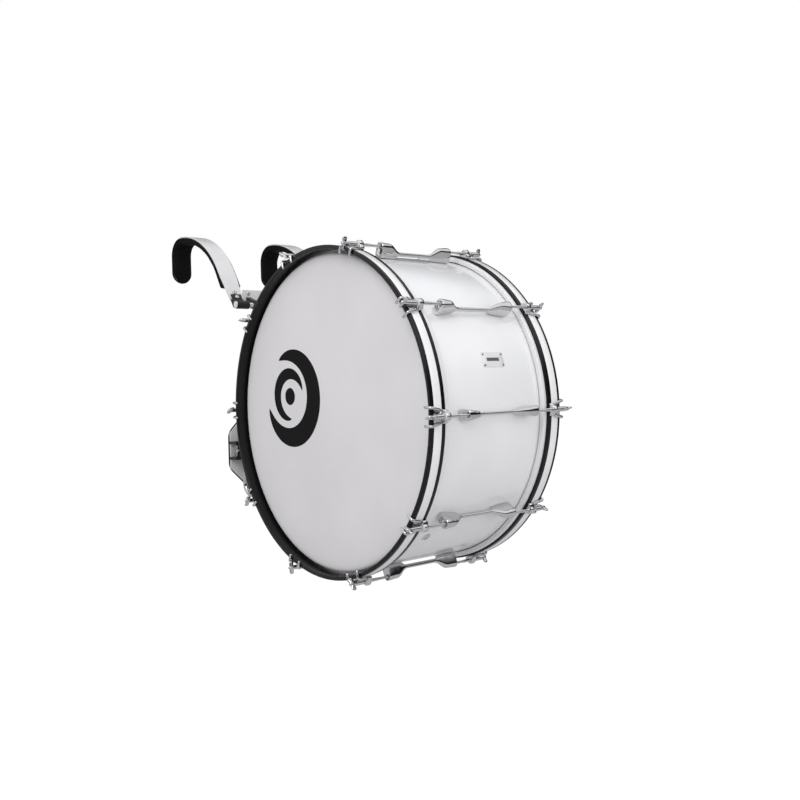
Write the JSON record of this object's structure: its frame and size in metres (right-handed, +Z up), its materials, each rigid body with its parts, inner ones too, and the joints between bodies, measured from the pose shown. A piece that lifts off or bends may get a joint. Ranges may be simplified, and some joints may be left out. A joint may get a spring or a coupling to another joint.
{
  "type": "marching bass drum",
  "caption": "Marching bass drum with wooden hoops, claw-hook tension rods and double-ended lugs, hung by J rods from a padded shoulder carrier.",
  "frame": {"origin": "midway between the two shoulder rests, on the undersides of the pads at their crowns", "axes": "+X towards the wearer's left along the drum's axis, +Y towards the wearer, away from the drum, +Z up"},
  "size_m": [0.38, 1.0501, 0.7936],
  "materials": {
    "shell_white": "white high-gloss lacquer over bent plies",
    "head_film": "coated white polyester film",
    "flesh_hoop": "satin",
    "hoop_black": "black high-gloss lacquer",
    "inlay_white": "glossy white strip",
    "chrome": "polished chrome plate",
    "brass": "turned",
    "zinc_screw": "bright zinc",
    "nylon": "black nylon",
    "badge": "blank, brushed",
    "black_metal": "black powder coat",
    "black_alloy": "black powder-coated casting",
    "white_alloy": "white powder-coated plate",
    "black_foam": "black foam under a smooth skin",
    "rubber": "moulded",
    "black_plastic": "moulded"
  },
  "bodies": {
    "frame": {"spine_bar": "white_alloy", "crossbar": "white_alloy", "cross_tube": "black_metal", "hinge_ears": "black_alloy", "hinge_pins": "chrome", "frame_bolts": "zinc_screw"},
    "belly": {"belly_plate": "white_alloy", "belly_pad": "black_foam", "j_rod_clamps": "black_alloy", "spine_slider": "black_alloy"},
    "height_knob": {"height_knob": "black_plastic"},
    "right_wing_screw": {"right_wing_screw": "chrome"},
    "left_wing_screw": {"left_wing_screw": "chrome"},
    "j_rods": {"j_rods": "chrome", "j_rod_collars": "rubber"},
    "drum": {"shell": "shell_white", "right_head": "head_film", "left_head": "head_film", "flesh_hoops": "flesh_hoop", "right_hoop": "hoop_black", "left_hoop": "hoop_black", "hoop_inlays": "inlay_white", "bridge_lugs": "chrome", "swivel_nuts": "brass", "lug_screws": "zinc_screw", "claw_hooks": "chrome", "rod_washers": "nylon", "air_vent": "chrome", "badge_plate": "badge", "badge_rivets": "chrome", "carrier_eyelets": "black_alloy", "eyelet_screws": "zinc_screw"},
    "right_shoulder": {"right_shoulder_plate": "white_alloy", "right_shoulder_pad": "black_foam", "right_hinge_bracket": "black_metal", "right_shoulder_bolts": "zinc_screw"},
    "left_shoulder": {"left_shoulder_plate": "white_alloy", "left_shoulder_pad": "black_foam", "left_hinge_bracket": "black_metal", "left_shoulder_bolts": "zinc_screw"},
    "right_t_rod_01": {"right_t_rod_01": "chrome"},
    "right_t_rod_02": {"right_t_rod_02": "chrome"},
    "right_t_rod_03": {"right_t_rod_03": "chrome"},
    "right_t_rod_04": {"right_t_rod_04": "chrome"},
    "right_t_rod_05": {"right_t_rod_05": "chrome"},
    "right_t_rod_06": {"right_t_rod_06": "chrome"},
    "right_t_rod_07": {"right_t_rod_07": "chrome"},
    "right_t_rod_08": {"right_t_rod_08": "chrome"},
    "right_t_rod_09": {"right_t_rod_09": "chrome"},
    "right_t_rod_10": {"right_t_rod_10": "chrome"},
    "left_t_rod_01": {"left_t_rod_01": "chrome"},
    "left_t_rod_02": {"left_t_rod_02": "chrome"},
    "left_t_rod_03": {"left_t_rod_03": "chrome"},
    "left_t_rod_04": {"left_t_rod_04": "chrome"},
    "left_t_rod_05": {"left_t_rod_05": "chrome"},
    "left_t_rod_06": {"left_t_rod_06": "chrome"},
    "left_t_rod_07": {"left_t_rod_07": "chrome"},
    "left_t_rod_08": {"left_t_rod_08": "chrome"},
    "left_t_rod_09": {"left_t_rod_09": "chrome"},
    "left_t_rod_10": {"left_t_rod_10": "chrome"}
  },
  "joints": [
    {"name": "right_shoulder_hinge", "type": "hinge", "parent": "frame", "child": "right_shoulder", "pos_m": [-0.134, -0.26265, -0.17589], "axis": [1, 0, 0], "range_deg": [0, 75]},
    {"name": "left_shoulder_hinge", "type": "hinge", "parent": "frame", "child": "left_shoulder", "pos_m": [0.134, -0.26265, -0.17589], "axis": [1, 0, 0], "range_deg": [0, 75]},
    {"name": "belly_height", "type": "slide", "parent": "frame", "child": "belly", "axis": [0, 0, 1], "range_m": [-0.04, 0.04]},
    {"name": "height_knob_turn", "type": "hinge", "parent": "belly", "child": "height_knob", "pos_m": [0, -0.25465, -0.5279], "axis": [0, -1, 0], "continuous": true},
    {"name": "right_wing_screw_turn", "type": "hinge", "parent": "belly", "child": "right_wing_screw", "pos_m": [-0.14, -0.22665, -0.5279], "axis": [-1, 0, 0], "continuous": true},
    {"name": "left_wing_screw_turn", "type": "hinge", "parent": "belly", "child": "left_wing_screw", "pos_m": [0.14, -0.22665, -0.5279], "axis": [1, 0, 0], "continuous": true},
    {"name": "j_rod_height", "type": "slide", "parent": "belly", "child": "j_rods", "axis": [0, 0, 1], "range_m": [-0.02, 0.03]},
    {"name": "drum_lift_off", "type": "slide", "parent": "j_rods", "child": "drum", "axis": [0, 0, 1], "range_m": [0, 0.045]},
    {"name": "right_t_rod_01_turn", "type": "hinge", "parent": "drum", "child": "right_t_rod_01", "pos_m": [-0.15, -0.74404, -0.09022], "axis": [-1, 0, 0], "continuous": true},
    {"name": "right_t_rod_02_turn", "type": "hinge", "parent": "drum", "child": "right_t_rod_02", "pos_m": [-0.15, -0.92104, -0.21882], "axis": [-1, 0, 0], "continuous": true},
    {"name": "right_t_rod_03_turn", "type": "hinge", "parent": "drum", "child": "right_t_rod_03", "pos_m": [-0.15, -0.98865, -0.4269], "axis": [-1, 0, 0], "continuous": true},
    {"name": "right_t_rod_04_turn", "type": "hinge", "parent": "drum", "child": "right_t_rod_04", "pos_m": [-0.15, -0.92104, -0.63497], "axis": [-1, 0, 0], "continuous": true},
    {"name": "right_t_rod_05_turn", "type": "hinge", "parent": "drum", "child": "right_t_rod_05", "pos_m": [-0.15, -0.74404, -0.76357], "axis": [-1, 0, 0], "continuous": true},
    {"name": "right_t_rod_06_turn", "type": "hinge", "parent": "drum", "child": "right_t_rod_06", "pos_m": [-0.15, -0.52526, -0.76357], "axis": [-1, 0, 0], "continuous": true},
    {"name": "right_t_rod_07_turn", "type": "hinge", "parent": "drum", "child": "right_t_rod_07", "pos_m": [-0.15, -0.34826, -0.63497], "axis": [-1, 0, 0], "continuous": true},
    {"name": "right_t_rod_08_turn", "type": "hinge", "parent": "drum", "child": "right_t_rod_08", "pos_m": [-0.15, -0.28065, -0.4269], "axis": [-1, 0, 0], "continuous": true},
    {"name": "right_t_rod_09_turn", "type": "hinge", "parent": "drum", "child": "right_t_rod_09", "pos_m": [-0.15, -0.34826, -0.21882], "axis": [-1, 0, 0], "continuous": true},
    {"name": "right_t_rod_10_turn", "type": "hinge", "parent": "drum", "child": "right_t_rod_10", "pos_m": [-0.15, -0.52526, -0.09022], "axis": [-1, 0, 0], "continuous": true},
    {"name": "left_t_rod_01_turn", "type": "hinge", "parent": "drum", "child": "left_t_rod_01", "pos_m": [0.15, -0.74404, -0.09022], "axis": [1, 0, 0], "continuous": true},
    {"name": "left_t_rod_02_turn", "type": "hinge", "parent": "drum", "child": "left_t_rod_02", "pos_m": [0.15, -0.92104, -0.21882], "axis": [1, 0, 0], "continuous": true},
    {"name": "left_t_rod_03_turn", "type": "hinge", "parent": "drum", "child": "left_t_rod_03", "pos_m": [0.15, -0.98865, -0.4269], "axis": [1, 0, 0], "continuous": true},
    {"name": "left_t_rod_04_turn", "type": "hinge", "parent": "drum", "child": "left_t_rod_04", "pos_m": [0.15, -0.92104, -0.63497], "axis": [1, 0, 0], "continuous": true},
    {"name": "left_t_rod_05_turn", "type": "hinge", "parent": "drum", "child": "left_t_rod_05", "pos_m": [0.15, -0.74404, -0.76357], "axis": [1, 0, 0], "continuous": true},
    {"name": "left_t_rod_06_turn", "type": "hinge", "parent": "drum", "child": "left_t_rod_06", "pos_m": [0.15, -0.52526, -0.76357], "axis": [1, 0, 0], "continuous": true},
    {"name": "left_t_rod_07_turn", "type": "hinge", "parent": "drum", "child": "left_t_rod_07", "pos_m": [0.15, -0.34826, -0.63497], "axis": [1, 0, 0], "continuous": true},
    {"name": "left_t_rod_08_turn", "type": "hinge", "parent": "drum", "child": "left_t_rod_08", "pos_m": [0.15, -0.28065, -0.4269], "axis": [1, 0, 0], "continuous": true},
    {"name": "left_t_rod_09_turn", "type": "hinge", "parent": "drum", "child": "left_t_rod_09", "pos_m": [0.15, -0.34826, -0.21882], "axis": [1, 0, 0], "continuous": true},
    {"name": "left_t_rod_10_turn", "type": "hinge", "parent": "drum", "child": "left_t_rod_10", "pos_m": [0.15, -0.52526, -0.09022], "axis": [1, 0, 0], "continuous": true}
  ]
}
